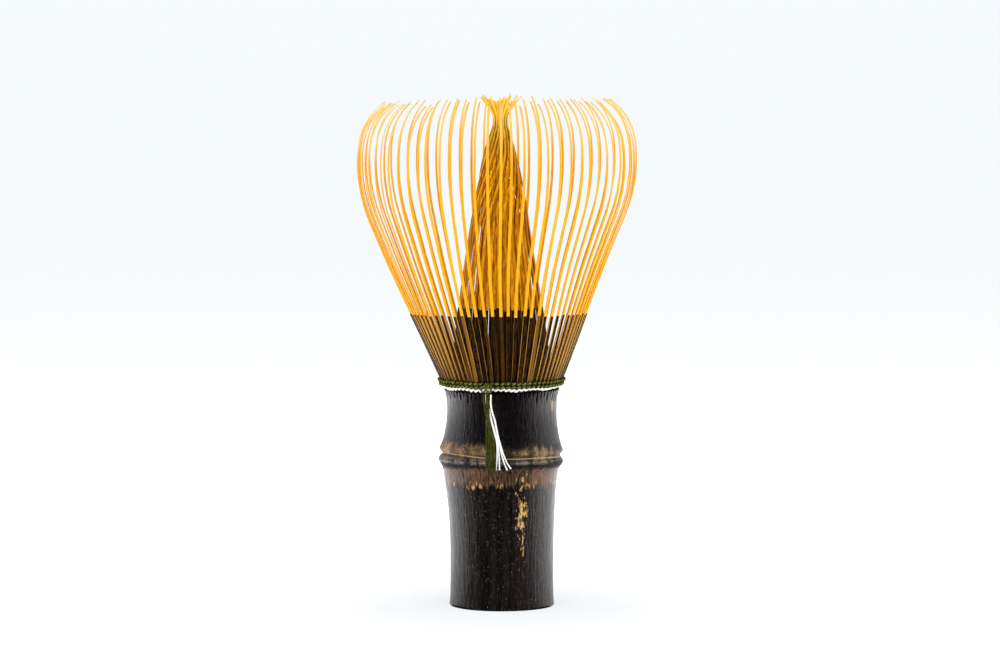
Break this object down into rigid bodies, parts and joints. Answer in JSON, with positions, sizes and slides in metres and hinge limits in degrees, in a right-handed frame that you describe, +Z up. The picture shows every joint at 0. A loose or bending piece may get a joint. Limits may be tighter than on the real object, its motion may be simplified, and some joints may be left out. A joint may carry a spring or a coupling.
{
  "type": "bamboo tea whisk",
  "caption": "Bamboo tea whisk: a hollow culm handle with a node, split above into springy outer tines and a gathered inner cone, laced with twined thread.",
  "frame": {"origin": "middle of the foot, on the surface that the whisk stands on", "axes": "+Z up the culm to the tips of the tines; -Y towards the knot and the thread ends; +X to the right, seen from the front"},
  "size_m": [0.0636, 0.0636, 0.115],
  "materials": {
    "dark_bamboo": "satin smoked bamboo skin with fine upright fibres",
    "gold_bamboo": "split bamboo flesh, amber, with the dark skin left on the lower quarter",
    "green_thread": "matt two-ply thread, olive green",
    "white_thread": "matt two-ply thread, white"
  },
  "bodies": {
    "handle": {"handle": "dark_bamboo", "green_row_lower": "green_thread", "green_row_upper": "green_thread", "inner_lacing": "green_thread", "white_row": "white_thread", "knot": "green_thread", "green_end_1": "green_thread", "green_end_2": "green_thread", "green_end_3": "green_thread", "green_end_4": "green_thread", "white_end_1": "white_thread", "white_end_2": "white_thread", "white_end_3": "white_thread", "white_end_4": "white_thread"},
    "outer_sector_01": {"outer_tines_01": "gold_bamboo"},
    "outer_sector_02": {"outer_tines_02": "gold_bamboo"},
    "outer_sector_03": {"outer_tines_03": "gold_bamboo"},
    "outer_sector_04": {"outer_tines_04": "gold_bamboo"},
    "outer_sector_05": {"outer_tines_05": "gold_bamboo"},
    "outer_sector_06": {"outer_tines_06": "gold_bamboo"},
    "outer_sector_07": {"outer_tines_07": "gold_bamboo"},
    "outer_sector_08": {"outer_tines_08": "gold_bamboo"},
    "outer_sector_09": {"outer_tines_09": "gold_bamboo"},
    "outer_sector_10": {"outer_tines_10": "gold_bamboo"},
    "outer_sector_11": {"outer_tines_11": "gold_bamboo"},
    "outer_sector_12": {"outer_tines_12": "gold_bamboo"},
    "inner_bundle": {"inner_tines_01": "gold_bamboo", "inner_tines_02": "gold_bamboo", "inner_tines_03": "gold_bamboo", "inner_tines_04": "gold_bamboo", "inner_tines_05": "gold_bamboo", "inner_tines_06": "gold_bamboo", "inner_tines_07": "gold_bamboo", "inner_tines_08": "gold_bamboo", "inner_tines_09": "gold_bamboo", "inner_tines_10": "gold_bamboo", "inner_tines_11": "gold_bamboo", "inner_tines_12": "gold_bamboo"}
  },
  "joints": [
    {"name": "outer_flex_01", "type": "hinge", "parent": "handle", "child": "outer_sector_01", "pos_m": [0.01294, 0.00347, 0.0508], "axis": [-0.2588, 0.9659, 0], "range_deg": [-2, 5], "stiffness_Nm_per_rad": 0.02},
    {"name": "outer_flex_02", "type": "hinge", "parent": "handle", "child": "outer_sector_02", "pos_m": [0.00948, 0.00948, 0.0508], "axis": [-0.7071, 0.7071, 0], "range_deg": [-2, 5], "stiffness_Nm_per_rad": 0.02},
    {"name": "outer_flex_03", "type": "hinge", "parent": "handle", "child": "outer_sector_03", "pos_m": [0.00347, 0.01294, 0.0508], "axis": [-0.9659, 0.2588, 0], "range_deg": [-2, 5], "stiffness_Nm_per_rad": 0.02},
    {"name": "outer_flex_04", "type": "hinge", "parent": "handle", "child": "outer_sector_04", "pos_m": [-0.00347, 0.01294, 0.0508], "axis": [-0.9659, -0.2588, 0], "range_deg": [-2, 5], "stiffness_Nm_per_rad": 0.02},
    {"name": "outer_flex_05", "type": "hinge", "parent": "handle", "child": "outer_sector_05", "pos_m": [-0.00948, 0.00948, 0.0508], "axis": [-0.7071, -0.7071, 0], "range_deg": [-2, 5], "stiffness_Nm_per_rad": 0.02},
    {"name": "outer_flex_06", "type": "hinge", "parent": "handle", "child": "outer_sector_06", "pos_m": [-0.01294, 0.00347, 0.0508], "axis": [-0.2588, -0.9659, 0], "range_deg": [-2, 5], "stiffness_Nm_per_rad": 0.02},
    {"name": "outer_flex_07", "type": "hinge", "parent": "handle", "child": "outer_sector_07", "pos_m": [-0.01294, -0.00347, 0.0508], "axis": [0.2588, -0.9659, 0], "range_deg": [-2, 5], "stiffness_Nm_per_rad": 0.02},
    {"name": "outer_flex_08", "type": "hinge", "parent": "handle", "child": "outer_sector_08", "pos_m": [-0.00948, -0.00948, 0.0508], "axis": [0.7071, -0.7071, 0], "range_deg": [-2, 5], "stiffness_Nm_per_rad": 0.02},
    {"name": "outer_flex_09", "type": "hinge", "parent": "handle", "child": "outer_sector_09", "pos_m": [-0.00347, -0.01294, 0.0508], "axis": [0.9659, -0.2588, 0], "range_deg": [-2, 5], "stiffness_Nm_per_rad": 0.02},
    {"name": "outer_flex_10", "type": "hinge", "parent": "handle", "child": "outer_sector_10", "pos_m": [0.00347, -0.01294, 0.0508], "axis": [0.9659, 0.2588, 0], "range_deg": [-2, 5], "stiffness_Nm_per_rad": 0.02},
    {"name": "outer_flex_11", "type": "hinge", "parent": "handle", "child": "outer_sector_11", "pos_m": [0.00948, -0.00948, 0.0508], "axis": [0.7071, 0.7071, 0], "range_deg": [-2, 5], "stiffness_Nm_per_rad": 0.02},
    {"name": "outer_flex_12", "type": "hinge", "parent": "handle", "child": "outer_sector_12", "pos_m": [0.01294, -0.00347, 0.0508], "axis": [0.2588, 0.9659, 0], "range_deg": [-2, 5], "stiffness_Nm_per_rad": 0.02},
    {"name": "inner_sway", "type": "hinge", "parent": "handle", "child": "inner_bundle", "pos_m": [0, 0, 0.0508], "axis": [0, 1, 0], "range_deg": [-3, 3], "stiffness_Nm_per_rad": 0.2}
  ]
}
